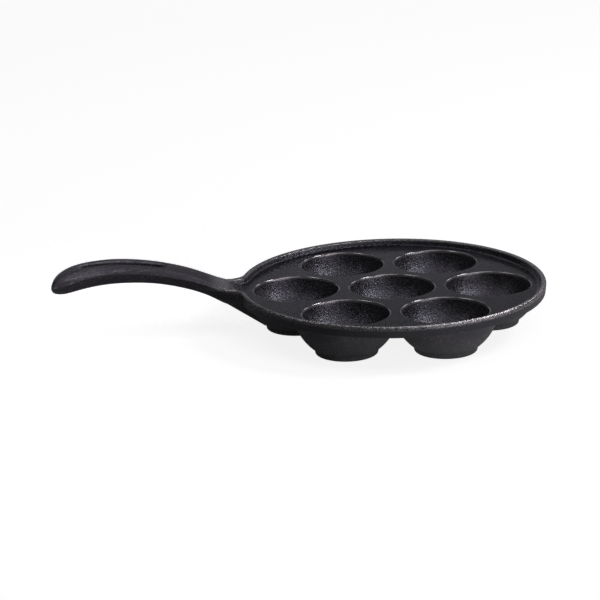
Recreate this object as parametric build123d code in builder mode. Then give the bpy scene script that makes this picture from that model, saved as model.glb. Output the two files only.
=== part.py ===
"""A filled-pancake pan for the stovetop: seven hemispherical cups in one round iron casting.

The real pan is poured in one piece. Each named node below is one region of that casting, and the
regions meet face to face. All sizes are in millimetres.

Frame: +Z up, the pan stands on z = 0, the origin is the middle of the centre cup's foot, and the
handle points along -X.
"""
import os
from math import asin, atan2, cos, degrees, radians, sin, sqrt

from build123d import *

os.makedirs("parts", exist_ok=True)

# Cups: one in the middle and a ring of them round it, the web being the least flat between two lips
ring_count = 6
cup_mouth_radius = 31.6
cup_lip_round = 1.4
cup_land = 0.6
cup_web = 4.8
cup_depth = 25.2
cup_wall = 6.4
bowl_drop = 2.7
bowl_root_round = 1.5

# Foot: the flat disc under each cup
sole_thick = 4.8
foot_height = 3.6
foot_draft = 0.6
foot_round = 0.9

# Plate: the flat disc that carries the cups, with a margin outside the ring
plate_thick = 3.6
plate_margin = 2.6

# Rim: a raised band round the plate, its section measured from the outer wall and the plate's top
rim_band = 6.8
rim_wall_height = 2.2
rim_wall_draft = 0.5
rim_edge_round = 0.9
rim_crest_height = 4.9
rim_crest_inset = 1.3
rim_land_height = 4.3
rim_land_inset = 3.4
rim_toe_height = 1.2
rim_toe_inset = 4.9

# Handle: an arched, waisted grip
handle_reach = 139.9
arch_rise = 24.0
grip_width = 28.2
grip_thick = 13.5
grip_crown = 0.7
shoulder_round = 2.2
belly_round = 3.6
tip_length = 17.2
tip_fall = 5.3

# Hanging slot through the grip
slot_length = 65.0
slot_width = 10.0
slot_edge_round = 2.0

# Neck: the lips that run from the rim into the handle, and the floor between them
neck_round = 12.0
neck_width = 30.6
neck_floor_rise = 4.3
neck_drop = 7.2
neck_shoulder_round = 0.8

# Keel: the web under the neck that ties the handle to the nearest cup
keel_nose_width = 18.0

# One overrun for every cutter
overrun = 10.0

# Stations along the grip from the neck outwards: place along the reach, half-width, half-width of
# the top, height of the top, thickness, and depth of the parting crease below the top, as shares
# of the reach, half the grip's width, the half-width here, the arch's rise, the grip's thickness
# and the thickness here
station_shares = [
    (0.105, 0.940, 0.830, 0.310, 0.920, 0.235),
    (0.155, 0.872, 0.756, 0.438, 0.885, 0.276),
    (0.254, 0.858, 0.711, 0.662, 0.892, 0.347),
    (0.361, 0.879, 0.710, 0.829, 0.906, 0.400),
    (0.468, 0.915, 0.767, 0.933, 0.921, 0.385),
    (0.575, 0.965, 0.794, 0.988, 0.964, 0.400),
    (0.661, 1.000, 0.794, 1.000, 1.000, 0.400),
    (0.743, 0.972, 0.752, 0.983, 1.072, 0.443),
    (0.825, 0.936, 0.697, 0.929, 1.151, 0.470),
]
belly_share = 0.70
side_swell_share = 0.04
flank_place_share = 0.55
flank_swell_share = 0.12
slot_place_share = 0.618
neck_slope_share = 0.4

# The domed tip: its first station in the same shares, where its stations stand along its length,
# and how bluntly its width, the height above its crease and the depth below it run out
tip_shares = (0.920, 0.558, 0.876, 1.200, 0.546)
tip_place_shares = (0.0, 0.34, 0.62, 0.81, 0.915, 0.970, 0.9945)
tip_width_share = 0.36
tip_rise_share = 0.94
tip_sag_share = 0.86

# Worked out from the sizes above
seat_radius = cup_mouth_radius + cup_lip_round + cup_land
cup_pitch = 2 * seat_radius + cup_web
plate_radius = cup_pitch + seat_radius + plate_margin
rim_radius = plate_radius + rim_band
plate_height = cup_depth + sole_thick
hollow_drop = cup_depth - cup_lip_round
hollow_radius = (cup_mouth_radius ** 2 + hollow_drop ** 2) / (2 * hollow_drop)
bowl_radius = hollow_radius + cup_wall
bowl_rise = hollow_radius - cup_depth - bowl_drop
foot_top = foot_height - plate_height
foot_top_radius = sqrt(bowl_radius ** 2 - (bowl_rise - foot_top) ** 2)
neck_axis_y = neck_width / 2 + neck_round
neck_axis_x = -sqrt((rim_radius + neck_round) ** 2 - neck_axis_y ** 2)
neck_angle = degrees(atan2(neck_axis_y, -neck_axis_x))
neck_flank = neck_width / 2 - rim_wall_draft - rim_edge_round
tip_x = tip_length - rim_radius - handle_reach
tip_run = tip_length / tip_place_shares[-1]
slot_x = -rim_radius - handle_reach * slot_place_share


def upright(x, y, turn):
    """An upright plane through a point at the plate's top, its x axis turned about the vertical."""
    across = (cos(radians(turn)), sin(radians(turn)), 0)
    normal = (sin(radians(turn)), -cos(radians(turn)), 0)
    return Plane((x, y, plate_height), x_dir=across, z_dir=normal)


def rim_section(plane, wall, side):
    """The rim's section with its outer wall at x = wall and its body on the given side of it."""
    toe = wall + side * rim_band
    low = -plate_thick
    with BuildSketch(plane) as section:
        with BuildLine():
            seat = Line((toe, 0), (toe, low))
            base = Line(seat @ 1, (wall + side * (rim_wall_draft + rim_edge_round), low))
            edge_end = (wall + side * rim_wall_draft, low + rim_edge_round)
            edge = TangentArc(base @ 1, edge_end, tangent=base % 1)
            face = Line(edge @ 1, (wall, rim_wall_height))
            crest = (wall + side * rim_crest_inset, rim_crest_height)
            shoulder = TangentArc(face @ 1, crest, tangent=face % 1)
            land = Line(shoulder @ 1, (wall + side * rim_land_inset, rim_land_height))
            inner = Line(land @ 1, (wall + side * rim_toe_inset, rim_toe_height))
            TangentArc(seat @ 0, inner @ 1, tangent=(-side, 0))
        make_face()
    return section.sketch


def cup_section(filled):
    """Half the section of a cup with its foot, hollow or filled level with the plate."""
    low = -plate_thick
    base = -plate_height
    root_z = low - bowl_root_round
    root_x = sqrt(bowl_radius ** 2 - (bowl_rise - root_z) ** 2)
    side_x = foot_top_radius - foot_draft
    turn = asin(cup_mouth_radius / hollow_radius) / 2
    hollow_mid = (hollow_radius * sin(turn), hollow_radius * (1 - cos(turn)) - cup_depth)
    turn = (asin((root_z - bowl_rise) / bowl_radius) + asin((foot_top - bowl_rise) / bowl_radius)) / 2
    bowl_mid = (bowl_radius * cos(turn), bowl_rise + bowl_radius * sin(turn))
    with BuildSketch(upright(0, 0, 0)) as section:
        with BuildLine():
            seat = Line((seat_radius, 0), (seat_radius, low))
            ledge = Line(seat @ 1, (root_x + bowl_root_round, low))
            root = TangentArc(ledge @ 1, (root_x, root_z), tangent=(-1, 0))
            bowl = ThreePointArc(root @ 1, bowl_mid, (foot_top_radius, foot_top))
            side = Line(bowl @ 1, (side_x, base + foot_round))
            edge = TangentArc(side @ 1, (side_x - foot_round, base), tangent=side % 1)
            sole = Line(edge @ 1, (0, base))
            if filled:
                Line(sole @ 1, (0, 0))
                Line((0, 0), seat @ 0)
            else:
                Line(sole @ 1, (0, -cup_depth))
                hollow = ThreePointArc((0, -cup_depth), hollow_mid, (cup_mouth_radius, -cup_lip_round))
                lip = TangentArc((cup_mouth_radius + cup_lip_round, 0), hollow @ 1, tangent=(-1, 0))
                Line(lip @ 0, seat @ 0)
        make_face()
    return section.sketch


def grip_section(x, half, top_half, top, crown, crease, flank, belly, bottom, rounds):
    """A section of the grip: crowned top, sides that meet in a crease, and a rounded belly."""
    side_x = (top_half + half) / 2 + side_swell_share * (top - crease)
    side_y = (top + crease) / 2 + side_swell_share * (half - top_half)
    with BuildSketch(upright(x, 0, 90)) as section:
        with BuildLine():
            ThreePointArc((-top_half, top), (0, top + crown), (top_half, top))
            ThreePointArc((top_half, top), (side_x, side_y), (half, crease))
            Polyline((half, crease), flank, (belly, bottom))
            ThreePointArc((belly, bottom), (0, bottom - grip_crown), (-belly, bottom))
            Polyline((-belly, bottom), (-flank[0], flank[1]), (-half, crease))
            ThreePointArc((-half, crease), (-side_x, side_y), (-top_half, top))
        make_face()
        fillet(section.vertices().sort_by(Axis.Y)[:2], rounds[0])
        fillet(section.vertices().sort_by(Axis.Y)[-2:], rounds[1])
    return section.sketch


def station(x, shares, fall=0.0, width=1.0, rise=1.0, sag=1.0):
    """A section of the grip from its row of shares, its crease lowered by fall and its sizes drawn in."""
    half = shares[0] * grip_width / 2 * width
    thick = shares[3] * grip_thick
    crease = shares[2] * arch_rise - thick * shares[4] - fall
    top = crease + thick * shares[4] * rise
    bottom = crease - thick * (1 - shares[4]) * sag
    belly = half * belly_share
    flank_x = half - (half - belly) * (flank_place_share - flank_swell_share)
    flank_z = crease - (crease - bottom) * flank_place_share
    rounds = (belly_round * sag, shoulder_round * rise)
    return grip_section(
        x, half, half * shares[1], top, grip_crown * rise, crease, (flank_x, flank_z), belly, bottom, rounds)


def keel_section(x, top_half, low_half, low):
    """A section of the keel, from the underside of the neck down to its rounded lower edge."""
    with BuildSketch(upright(x, 0, 90)) as section:
        corners = [(-top_half, -plate_thick), (top_half, -plate_thick), (low_half, low), (-low_half, low)]
        Polygon(corners, align=None)
        fillet(section.vertices().sort_by(Axis.Y)[:2], belly_round)
    return section.sketch


with BuildPart() as plate:
    with BuildSketch(Plane.XY.offset(plate_height - plate_thick)):
        Circle(plate_radius)
        Circle(seat_radius, mode=Mode.SUBTRACT)
        with PolarLocations(cup_pitch, ring_count):
            Circle(seat_radius, mode=Mode.SUBTRACT)
    extrude(amount=plate_thick)

with BuildPart() as rim:
    add(rim_section(upright(0, 0, neck_angle - 180), rim_radius, -1))
    revolve(axis=Axis.Z, revolution_arc=360 - 2 * neck_angle)

with BuildPart() as bowl:
    add(cup_section(filled=False))
    revolve(axis=Axis.Z)

with BuildPart() as center_cup:
    add(bowl.part)
    for step in range(ring_count):
        turn = 360 / ring_count * step
        split(bisect_by=upright(0, 0, turn + 90).offset(cup_pitch / 2), keep=Keep.BOTTOM)

# A ring cup at +X, cut where it meets the centre cup and its two neighbours
with BuildPart() as ring_cup:
    with Locations((cup_pitch, 0, 0)):
        add(bowl.part)
    split(bisect_by=upright(cup_pitch / 2, 0, 90), keep=Keep.TOP)
    for side in (1, -1):
        split(bisect_by=upright(0, 0, side * 180 / ring_count), keep=Keep.TOP if side > 0 else Keep.BOTTOM)

ring_cups = []
for step in range(ring_count):
    with BuildPart() as cup:
        add(ring_cup.part, rotation=(0, 0, 360 / ring_count * step))
    cup.part.label = f"ring_cup_{step + 1}"
    ring_cups.append(cup.part)

# The solid that the nearest ring cup takes up, to seat the keel on
with BuildPart() as cup_blank:
    add(cup_section(filled=True))
    revolve(axis=Axis.Z)

with BuildPart() as handle:
    crest_half = neck_width / 2 - rim_crest_inset
    neck_belly = neck_width / 2 * belly_share
    neck_crown = neck_floor_rise - rim_crest_height
    stations = [grip_section(
        neck_axis_x, neck_width / 2, crest_half, rim_crest_height, neck_crown, rim_wall_height,
        (neck_flank, -plate_thick), neck_belly, -neck_drop, (belly_round, neck_shoulder_round))]
    for place, *shares in station_shares:
        stations.append(station(-rim_radius - handle_reach * place, shares))
    for place in tip_place_shares:
        taper = sqrt(1 - place ** 2)
        stations.append(station(
            tip_x - tip_run * place, tip_shares, tip_fall * place,
            taper ** tip_width_share, taper ** tip_rise_share, taper ** tip_sag_share))
    loft(sections=stations)
    with BuildSketch(Plane.XY.offset(plate_height)):
        with Locations((slot_x, 0)):
            SlotOverall(slot_length, slot_width)
    extrude(amount=arch_rise + overrun, both=True, mode=Mode.SUBTRACT)
    fillet(handle.edges(Select.LAST).filter_by(Axis.Z, reverse=True), slot_edge_round)

with BuildPart() as neck:
    with BuildSketch(upright(0, 0, 0)):
        with BuildLine():
            back = Line((neck_axis_x, -plate_thick), (neck_axis_x, neck_floor_rise))
            floor = Spline(back @ 1, (-plate_radius, 0), tangents=[(1, -neck_slope_share), (1, 0)])
            Polyline(floor @ 1, (0, 0), (0, -plate_thick), back @ 0)
        make_face()
    extrude(amount=neck_axis_y, both=True)
    with BuildSketch(Plane.XY.offset(plate_height - plate_thick)):
        Polygon((0, 0), (neck_axis_x, neck_axis_y), (neck_axis_x, -neck_axis_y), align=None)
        with Locations((neck_axis_x, neck_axis_y), (neck_axis_x, -neck_axis_y)):
            Circle(neck_round + rim_crest_inset, mode=Mode.SUBTRACT)
    extrude(amount=plate_thick + rim_crest_height, mode=Mode.INTERSECT)
    for side in (1, -1):
        turn = -90 if side > 0 else neck_angle
        lip = rim_section(upright(neck_axis_x, side * neck_axis_y, turn), neck_round, 1)
        axis = Axis((neck_axis_x, side * neck_axis_y, 0), (0, 0, 1))
        revolve(lip.faces(), axis=axis, revolution_arc=90 - neck_angle)
    with BuildSketch(Plane.XY.offset(plate_height - plate_thick)):
        Circle(plate_radius)
    extrude(amount=plate_thick + rim_crest_height, mode=Mode.SUBTRACT)

with BuildPart() as keel:
    keel_end = -cup_pitch - foot_top_radius
    loft(sections=[
        keel_section(neck_axis_x, neck_flank, neck_belly, -neck_drop),
        keel_section(keel_end, neck_flank, keel_nose_width / 2, foot_top)], ruled=True)
    add(cup_blank.part.moved(Location((-cup_pitch, 0, 0))), mode=Mode.SUBTRACT)

named = {
    "plate": plate.part, "rim": rim.part, "center_cup": center_cup.part, "handle": handle.part,
    "neck": neck.part, "keel": keel.part}
for name, piece in named.items():
    piece.label = name
for piece in list(named.values()) + ring_cups:
    export_step(piece, f"parts/{piece.label}.step")
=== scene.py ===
"""The aebleskiver pan in black seasoned cast iron, on a pale floor in soft studio light.

Lengths are in metres, angles in degrees and colours linear.
"""
from math import cos, radians, sin

import bpy
from mathutils import Matrix, Vector


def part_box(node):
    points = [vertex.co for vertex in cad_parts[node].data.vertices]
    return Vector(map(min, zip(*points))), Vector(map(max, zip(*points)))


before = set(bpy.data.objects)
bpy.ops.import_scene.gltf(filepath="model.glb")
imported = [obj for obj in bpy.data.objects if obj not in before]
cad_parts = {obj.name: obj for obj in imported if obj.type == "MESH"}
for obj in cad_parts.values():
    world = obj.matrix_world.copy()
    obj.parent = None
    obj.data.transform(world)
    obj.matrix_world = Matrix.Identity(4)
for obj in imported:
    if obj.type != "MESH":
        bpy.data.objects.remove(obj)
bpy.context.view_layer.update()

# The plate's two faces, read from the frame, and the middle of the hanging slot along X
plate_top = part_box("plate")[1].z
plate_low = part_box("plate")[0].z
slot_middle = -0.2015

# Bands over which the finish's masks go from none to full. Heights over the floor:
above_plate = (plate_top + 0.0002, plate_top + 0.0012)
below_plate = (plate_top - 0.0002, plate_top - 0.0030)
bowl_height = (plate_low + 0.0008, plate_low)
lip_foot = (plate_top - 0.0022, plate_top - 0.0010)
lip_top = (plate_top - 0.00002, plate_top - 0.00012)
crest_height = (plate_top + 0.0032, plate_top + 0.0042)
shoulder_height = (plate_top + 0.0010, plate_top + 0.0034)
# Distances from the pan's middle:
plate_field = (0.1075, 0.1065)
rim_outward = (0.1085, 0.1100)
crest_end = (0.140, 0.120)
shoulder_start = (0.1120, 0.1130)
shoulder_end = (0.130, 0.120)
# Places along X, and distances from the slot's middle across it and along it:
grip_outward = (-0.120, -0.140)
slot_across = (0.0074, 0.0066)
slot_along = (0.0360, 0.0345)
# The surface normal's Z:
facing_out = (0.25, 0.10)
edge_from_wall = (0.02, 0.20)
edge_to_top = (0.80, 0.70)

# Noises: scale, detail and roughness
lump_noise = (420.0, 2.0, 0.5)
sand_noise = (850.0, 3.0, 0.6)
fine_noise = (2600.0, 2.0, 0.5)
patch_noise = (60.0, 4.0, 0.6)
wear_noise = (240.0, 5.0, 0.65)
glint_noise = (1100.0, 2.0, 0.7)

# Relief, and how much of the sand's is left where the casting is smooth
lump_depth = 0.00016
sand_depth = 0.00036
fine_depth = 0.00003
smooth_sand = 0.10

# Colours of the iron, and two of painted light: on the bowls and on the slot's edge
seasoning_dark = (0.0095, 0.0090, 0.0115, 1.0)
seasoning_light = (0.0150, 0.0142, 0.0180, 1.0)
seasoning_thin = (0.034, 0.031, 0.033, 1.0)
# Painted light: the bowls' sides and undersides drawn grey, standing in for light from the pale floor
bowl_painted_floor_light = (0.085, 0.080, 0.087, 1.0)
grip_grey = (0.032, 0.027, 0.030, 1.0)
# Painted highlight: the slot's rounded upper edge, drawn pale grey in place of the front light falling
# on it
slot_edge_painted_highlight = (0.25, 0.24, 0.25, 1.0)
bare_iron = (0.560, 0.535, 0.520, 1.0)
gloss_tint = (0.92, 0.89, 1.0, 1.0)

# How much of a colour shows: a noise's band and the two shares that it gives, or one share.
# The shoulder's side is a band along X that paints its bare grains stronger toward +X: a painted
# highlight.
light_patches = ((0.35, 0.65), (0.0, 1.0))
thin_patches = ((0.62, 0.80), (0.0, 0.5))
bowl_floor_light_patches = ((0.3, 0.7), (0.6, 1.0))
slot_highlight_patches = ((0.35, 0.60), (0.3, 1.0))
glint_grains = ((0.54, 0.68), (0.0, 0.50))
shoulder_grains = ((0.38, 0.58), (0.0, 1.0))
shoulder_highlight_side = ((-0.02, 0.08), (0.40, 0.85))
grip_share = 0.7
grip_glints = 0.6
lip_bare = 0.80
crest_bare = 0.95

# Roughness: its base from the patches, and what each of the others adds to it
patch_rough = ((0.3, 0.7), (0.18, 0.24))
wear_rough = ((0.3, 0.7), (-0.04, 0.04))
sand_rough = ((0.35, 0.65), (-0.05, 0.07))
matt_rough = 0.20
bare_rough = -0.05

# Camera, fitted to the photograph's cup lips, rim and feet
camera_place = Vector((-0.05979, -1.5903, 0.5172))
camera_right = Vector((0.99962, -0.00263, -0.02758))
camera_up = Vector((0.02711, 0.29787, 0.95422))
camera_lens = 133.08
camera_reach = 50.0
sensor_width = 36.0

# Floor: a hair under the feet, so that no two faces share a plane. It glows along the heading.
floor_half = 6.0
floor_height = -0.0001
floor_seen = (0.50, 0.50, 0.50, 1.0)
floor_unseen = (0.15, 0.15, 0.15, 1.0)
floor_white = 0.86
glow_heading = (0.80, -0.60, 0.0)
glow_strength = ((-0.02, 0.22), (0.04, 0.34))

# Room, and the share of its white background that the iron mirrors: the photograph's room is dim
room_tint = (0.97, 0.95, 1.0, 1.0)
room_light = 0.01
mirror_share = 0.022
white = (1.0, 1.0, 1.0, 1.0)

# Lamps, on a dome round the pan: name, heading from +X, height, width, depth, watts
lamp_distance = 1.9
lamp_tint = (0.93, 0.91, 1.0)
lamps = (
    ("key", 3, 44, 0.5, 0.4, 6.6),
    ("front_top", 310, 57, 0.7, 0.8, 3.0),
    ("front_right", 318, 7, 1.5, 0.5, 6.5),
    ("front", 270, 60, 0.6, 0.5, 0.7),
    ("left_top", 180, 62, 0.6, 0.6, 2.1),
    ("overhead", 0, 88, 0.6, 0.6, 0.9),
    ("side", 45, 22, 0.5, 0.5, 1.3),
    ("back_top", 100, 42, 1.0, 0.5, 0.8),
    ("back", 100, 9, 2.0, 0.5, 0.9))
grip_lamp = ("grip", 240, 32, 0.12, 0.12, 0.024)
grip_lamp_aim = -0.275
grip_lamp_spread = 7.0


class Nodes:
    """Short calls that add shader nodes to one tree and join them."""

    def __init__(self, tree):
        self.tree = tree
        self.tree.nodes.clear()

    def add(self, kind, settings=None, **inputs):
        node = self.tree.nodes.new(kind)
        for name, value in (settings or {}).items():
            setattr(node, name, value)
        for name, value in inputs.items():
            self.put(node, name, value)
        return node

    def put(self, node, name, value):
        """Sets an input, by name or by number as in _0, to a value or to another node's output."""
        key = int(name[1:]) if name[0] == "_" and name[1:].isdigit() else name
        socket = node.inputs[key]
        if isinstance(value, bpy.types.NodeSocket):
            self.tree.links.new(value, socket)
        else:
            socket.default_value = value

    def noise(self, place, scale, detail, roughness):
        node = self.add(
            "ShaderNodeTexNoise", Vector=place, Scale=scale, Detail=detail, Roughness=roughness)
        return node.outputs["Fac"]

    def ramp(self, value, band, out=(0.0, 1.0)):
        """Maps the band smoothly to the two values of out."""
        node = self.add(
            "ShaderNodeMapRange", {"interpolation_type": "SMOOTHSTEP"},
            _0=value, _1=band[0], _2=band[1], _3=out[0], _4=out[1])
        return node.outputs[0]

    def math(self, how, first, second=0.0):
        return self.add("ShaderNodeMath", {"operation": how}, _0=first, _1=second).outputs[0]

    def chain(self, how, values):
        result = values[0]
        for value in values[1:]:
            result = self.math(how, result, value)
        return result

    def product(self, *values):
        return self.chain("MULTIPLY", values)

    def total(self, *values):
        return self.chain("ADD", values)

    def most(self, *values):
        return self.chain("MAXIMUM", values)

    def mix(self, share, first, second):
        node = self.add("ShaderNodeMix", {"data_type": "RGBA"})
        self.put(node, "_0", share)
        self.put(node, "_6", first)
        self.put(node, "_7", second)
        return node.outputs[2]

    def bump(self, height, distance, normal=None):
        node = self.add("ShaderNodeBump", Height=height, Distance=distance, Strength=1.0)
        if normal is not None:
            self.put(node, "Normal", normal)
        return node.outputs["Normal"]

    def sight(self):
        """Whether a ray is the camera's, and how much of the white background it sees."""
        rays = self.add("ShaderNodeLightPath").outputs
        seen = rays["Is Camera Ray"]
        mirrored = self.most(rays["Is Glossy Ray"], rays["Is Transmission Ray"])
        return seen, self.most(seen, self.product(mirrored, mirror_share))


def new_material(name):
    material = bpy.data.materials.new(name)
    material.use_nodes = True
    return material, Nodes(material.node_tree)


def seasoned_iron():
    """Black seasoned cast iron: satin in the cups, matt outside and on the grip, with wear on the
    edges; painted highlights on the slot's edge and the rim's shoulder, painted floor light on the
    bowls.
    """
    material, nodes = new_material("seasoned_iron")
    source = nodes.add("ShaderNodeTexCoord").outputs
    place = source["Object"]
    parts = nodes.add("ShaderNodeSeparateXYZ", Vector=place).outputs
    along_x, height = parts["X"], parts["Z"]
    facing = nodes.add("ShaderNodeSeparateXYZ", Vector=source["Normal"]).outputs["Z"]
    flat = nodes.add("ShaderNodeCombineXYZ", X=along_x, Y=parts["Y"], Z=0.0).outputs[0]
    reach = nodes.add("ShaderNodeVectorMath", {"operation": "LENGTH"}, _0=flat).outputs["Value"]

    lumps = nodes.noise(place, *lump_noise)
    sand = nodes.noise(place, *sand_noise)
    fine = nodes.noise(place, *fine_noise)
    patches = nodes.noise(place, *patch_noise)
    wear = nodes.noise(place, *wear_noise)
    glints = nodes.ramp(nodes.noise(place, *glint_noise), *glint_grains)

    # Rough as cast everywhere but on the plate's top. The bowls and the grip are matt.
    below = nodes.ramp(height, below_plate)
    cast = nodes.most(nodes.ramp(height, above_plate), below, nodes.ramp(reach, rim_outward))
    bowls = nodes.product(nodes.ramp(facing, facing_out), nodes.ramp(height, bowl_height))
    held = nodes.ramp(along_x, grip_outward)
    matt = nodes.most(bowls, held)

    # Bare metal: the cups' lips, the rim's crest, grains in the cups and on the grip, the shoulder,
    # whose grains are painted stronger toward +X as a painted highlight
    inside = nodes.ramp(reach, plate_field)
    lip = nodes.product(nodes.ramp(height, lip_foot), inside, nodes.ramp(height, lip_top))
    crest = nodes.product(nodes.ramp(height, crest_height), nodes.ramp(reach, crest_end))
    edges = nodes.total(nodes.product(lip, lip_bare), nodes.product(crest, crest_bare))
    speckled = nodes.most(nodes.product(below, inside), nodes.product(held, grip_glints))
    shoulder = nodes.product(
        nodes.ramp(height, shoulder_height), nodes.ramp(reach, shoulder_start),
        nodes.ramp(reach, shoulder_end))
    # The shoulder's bare grains: wear, plus a painted highlight that grows toward +X
    shoulder_wear_and_highlight = nodes.product(
        nodes.ramp(sand, *shoulder_grains), nodes.ramp(along_x, *shoulder_highlight_side))
    wear_and_painted_highlight = nodes.most(
        edges, nodes.product(speckled, glints), nodes.product(shoulder, shoulder_wear_and_highlight))

    # The rounded upper edge of the slot, painted paler than the rest of the grip: a painted highlight
    across = nodes.math("ABSOLUTE", parts["Y"])
    along = nodes.math("ABSOLUTE", nodes.math("SUBTRACT", along_x, slot_middle))
    slot_highlight_edge = nodes.product(
        nodes.ramp(across, slot_across), nodes.ramp(along, slot_along),
        nodes.ramp(facing, edge_from_wall), nodes.ramp(facing, edge_to_top))

    normal = nodes.bump(lumps, nodes.product(cast, lump_depth))
    normal = nodes.bump(sand, nodes.product(nodes.total(cast, smooth_sand), sand_depth), normal)
    normal = nodes.bump(fine, fine_depth, normal)

    tone = nodes.mix(nodes.ramp(patches, *light_patches), seasoning_dark, seasoning_light)
    tone = nodes.mix(nodes.ramp(wear, *thin_patches), tone, seasoning_thin)
    # Painted floor light on the bowls' sides and undersides
    tone = nodes.mix(nodes.product(bowls, nodes.ramp(patches, *bowl_floor_light_patches)), tone, bowl_painted_floor_light)
    tone = nodes.mix(nodes.product(held, grip_share), tone, grip_grey)
    tone = nodes.mix(
        nodes.product(slot_highlight_edge, nodes.ramp(wear, *slot_highlight_patches)), tone, slot_edge_painted_highlight)
    tone = nodes.mix(wear_and_painted_highlight, tone, bare_iron)

    rough = nodes.total(
        nodes.ramp(patches, *patch_rough), nodes.ramp(wear, *wear_rough),
        nodes.product(matt, matt_rough), nodes.product(wear_and_painted_highlight, bare_rough),
        nodes.product(cast, nodes.ramp(sand, *sand_rough)))

    shader = nodes.add("ShaderNodeBsdfPrincipled", Normal=normal, Roughness=rough, Metallic=wear_and_painted_highlight)
    nodes.put(shader, "Base Color", tone)
    shader.inputs["Specular IOR Level"].default_value = 1.0
    shader.inputs["Specular Tint"].default_value = gloss_tint
    output = nodes.add("ShaderNodeOutputMaterial")
    nodes.put(output, "Surface", shader.outputs[0])
    return material


def pale_floor():
    """A pale matt floor: white to the camera, with a glow at the front right that lights the iron."""
    material, nodes = new_material("pale_floor")
    seen, shown = nodes.sight()
    place = nodes.add("ShaderNodeTexCoord").outputs["Object"]
    toward = nodes.add(
        "ShaderNodeVectorMath", {"operation": "DOT_PRODUCT"}, _0=place, _1=glow_heading)
    lit = nodes.ramp(toward.outputs["Value"], *glow_strength)
    strength = nodes.most(nodes.product(shown, floor_white), lit)
    matt = nodes.add("ShaderNodeBsdfDiffuse", Color=nodes.mix(seen, floor_unseen, floor_seen))
    glow = nodes.add("ShaderNodeEmission", Color=white, Strength=strength)
    both = nodes.add("ShaderNodeAddShader", _0=matt.outputs[0], _1=glow.outputs[0])
    output = nodes.add("ShaderNodeOutputMaterial")
    nodes.put(output, "Surface", both.outputs[0])
    return material


def make_floor():
    corners = [
        (x * floor_half, y * floor_half, floor_height)
        for x, y in ((-1, -1), (1, -1), (1, 1), (-1, 1))]
    mesh = bpy.data.meshes.new("floor")
    mesh.from_pydata(corners, [], [(0, 1, 2, 3)])
    floor = bpy.data.objects.new("floor", mesh)
    bpy.context.scene.collection.objects.link(floor)
    mesh.materials.append(pale_floor())


def make_world():
    """A dim even room, white behind the object."""
    world = bpy.data.worlds.new("studio")
    bpy.context.scene.world = world
    world.use_nodes = True
    nodes = Nodes(world.node_tree)
    shown = nodes.sight()[1]
    room = nodes.add("ShaderNodeBackground", Color=room_tint, Strength=room_light)
    behind = nodes.add("ShaderNodeBackground", Color=white, Strength=1.0)
    mixed = nodes.add("ShaderNodeMixShader", Fac=shown, _1=room.outputs[0], _2=behind.outputs[0])
    output = nodes.add("ShaderNodeOutputWorld")
    nodes.put(output, "Surface", mixed.outputs[0])


def softbox(name, heading, height, width, depth, power, aim=0.0, spread=180.0):
    """A rectangular lamp on the dome, turned to the point at aim along X, level with the plate."""
    lamp = bpy.data.lights.new(name, "AREA")
    lamp.shape = "RECTANGLE"
    lamp.size = width
    lamp.size_y = depth
    lamp.energy = power
    lamp.color = lamp_tint
    lamp.spread = radians(spread)
    turn, rise = radians(heading), radians(height)
    out = Vector((cos(turn) * cos(rise), sin(turn) * cos(rise), sin(rise)))
    item = bpy.data.objects.new(name, lamp)
    item.location = Vector((0, 0, plate_top)) + out * lamp_distance
    beam = Vector((aim, 0, plate_top)) - item.location
    item.rotation_euler = beam.to_track_quat("-Z", "Y").to_euler()
    bpy.context.scene.collection.objects.link(item)


def make_camera():
    camera = bpy.data.cameras.new("camera")
    camera.lens = camera_lens
    camera.sensor_width = sensor_width
    camera.clip_end = camera_reach
    item = bpy.data.objects.new("camera", camera)
    back = camera_right.cross(camera_up).normalized()
    up = back.cross(camera_right).normalized()
    turn = Matrix((camera_right.normalized(), up, back)).transposed()
    item.matrix_world = Matrix.Translation(camera_place) @ turn.to_4x4()
    bpy.context.scene.collection.objects.link(item)
    bpy.context.scene.camera = item


iron = seasoned_iron()
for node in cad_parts.values():
    for material_slot in node.material_slots:
        material_slot.material = iron

make_floor()
make_world()
for lamp_values in lamps:
    softbox(*lamp_values)
softbox(*grip_lamp, aim=grip_lamp_aim, spread=grip_lamp_spread)
make_camera()
bpy.context.scene.view_settings.view_transform = "Standard"
